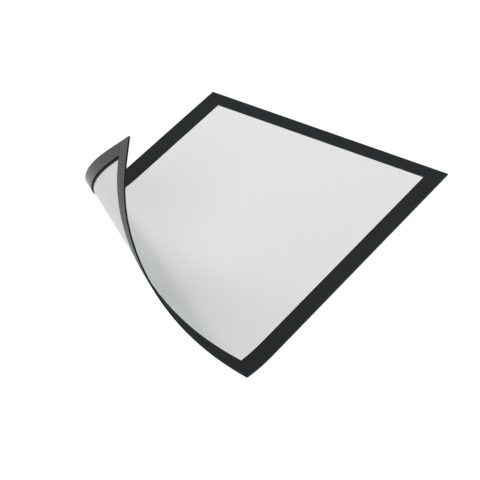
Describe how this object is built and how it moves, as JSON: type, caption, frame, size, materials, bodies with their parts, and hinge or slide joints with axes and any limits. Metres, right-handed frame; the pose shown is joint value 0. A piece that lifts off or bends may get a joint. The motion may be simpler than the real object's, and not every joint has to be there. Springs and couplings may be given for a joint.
{
  "type": "magnetic photo frame",
  "caption": "Flexible magnetic picture frame: milky window film with a black border, magnet strips on the reverse and one corner curled over the front.",
  "frame": {"origin": "centre of the panel's reverse face, on the plane of the magnet strips", "axes": "+X along the short side to the right seen from the front, +Y along the long side away from the curled corner, +Z out of the viewing side"},
  "size_m": [0.2365, 0.3231, 0.1151],
  "materials": {
    "film": "milky matt film",
    "border": "matt black",
    "magnet": "dark grey ferrite rubber, faint lengthwise sheen",
    "tape": "translucent adhesive"
  },
  "bodies": {
    "panel": {"window_film": "film", "border_print": "border", "magnet_top": "magnet", "magnet_right": "magnet", "magnet_left": "magnet", "tape_top": "tape", "tape_right": "tape", "tape_left": "tape"},
    "curl_1": {"film_1": "film", "print_left_1": "border", "print_bottom_1": "border", "magnet_left_1": "magnet", "magnet_bottom_1": "magnet", "tape_left_1": "tape", "tape_bottom_1": "tape", "magnet_right_1": "magnet", "tape_right_1": "tape"},
    "curl_2": {"film_2": "film", "print_left_2": "border", "print_bottom_2": "border", "magnet_left_2": "magnet", "magnet_bottom_2": "magnet", "tape_left_2": "tape", "tape_bottom_2": "tape"},
    "curl_3": {"film_3": "film", "print_left_3": "border", "print_bottom_3": "border", "magnet_left_3": "magnet", "magnet_bottom_3": "magnet", "tape_left_3": "tape", "tape_bottom_3": "tape"},
    "curl_4": {"film_4": "film", "print_left_4": "border", "print_bottom_4": "border", "magnet_left_4": "magnet", "magnet_bottom_4": "magnet", "tape_left_4": "tape", "tape_bottom_4": "tape"},
    "curl_5": {"film_5": "film", "print_left_5": "border", "print_bottom_5": "border", "magnet_left_5": "magnet", "magnet_bottom_5": "magnet", "tape_left_5": "tape", "tape_bottom_5": "tape"},
    "curl_6": {"film_6": "film", "print_corner_6": "border", "magnet_left_6": "magnet", "magnet_bottom_6": "magnet", "tape_left_6": "tape", "tape_bottom_6": "tape"},
    "curl_7": {"film_7": "film", "print_tip_7": "border", "magnet_left_7": "magnet", "magnet_bottom_7": "magnet", "tape_left_7": "tape", "tape_bottom_7": "tape"}
  },
  "joints": [
    {"name": "curl_fold_1", "type": "hinge", "parent": "panel", "child": "curl_1", "pos_m": [-0.00693, -0.05406, 0.00125], "axis": [-0.8404, 0.542, 0], "range_deg": [-11.6, 3.48]},
    {"name": "curl_fold_2", "type": "hinge", "parent": "curl_1", "child": "curl_2", "pos_m": [-0.00539, -0.08349, 0.00615], "axis": [-0.8232, 0.5678, -0.0064], "range_deg": [-22.1, 6.63]},
    {"name": "curl_fold_3", "type": "hinge", "parent": "curl_2", "child": "curl_3", "pos_m": [-0.02779, -0.0921, 0.01928], "axis": [-0.8045, 0.5933, -0.0274], "range_deg": [-23.7, 7.11]},
    {"name": "curl_fold_4", "type": "hinge", "parent": "curl_3", "child": "curl_4", "pos_m": [-0.04437, -0.09533, 0.03839], "axis": [-0.7878, 0.6123, -0.0668], "range_deg": [-21.2, 6.36]},
    {"name": "curl_fold_5", "type": "hinge", "parent": "curl_4", "child": "curl_5", "pos_m": [-0.05454, -0.093, 0.05945], "axis": [-0.776, 0.6182, -0.125], "range_deg": [-20, 6]},
    {"name": "curl_fold_6", "type": "hinge", "parent": "curl_5", "child": "curl_6", "pos_m": [-0.05836, -0.08607, 0.07921], "axis": [-0.773, 0.6008, -0.2037], "range_deg": [-16.9, 5.07]},
    {"name": "curl_fold_7", "type": "hinge", "parent": "curl_6", "child": "curl_7", "pos_m": [-0.0569, -0.07701, 0.09559], "axis": [-0.7816, 0.5425, -0.3078], "range_deg": [-6.6, 1.98]}
  ],
  "couplings": [
    {"joint": "curl_fold_2", "follows": "curl_fold_1", "ratio": 1.9052},
    {"joint": "curl_fold_3", "follows": "curl_fold_1", "ratio": 2.0431},
    {"joint": "curl_fold_4", "follows": "curl_fold_1", "ratio": 1.8276},
    {"joint": "curl_fold_5", "follows": "curl_fold_1", "ratio": 1.7241},
    {"joint": "curl_fold_6", "follows": "curl_fold_1", "ratio": 1.4569},
    {"joint": "curl_fold_7", "follows": "curl_fold_1", "ratio": 0.56897}
  ]
}
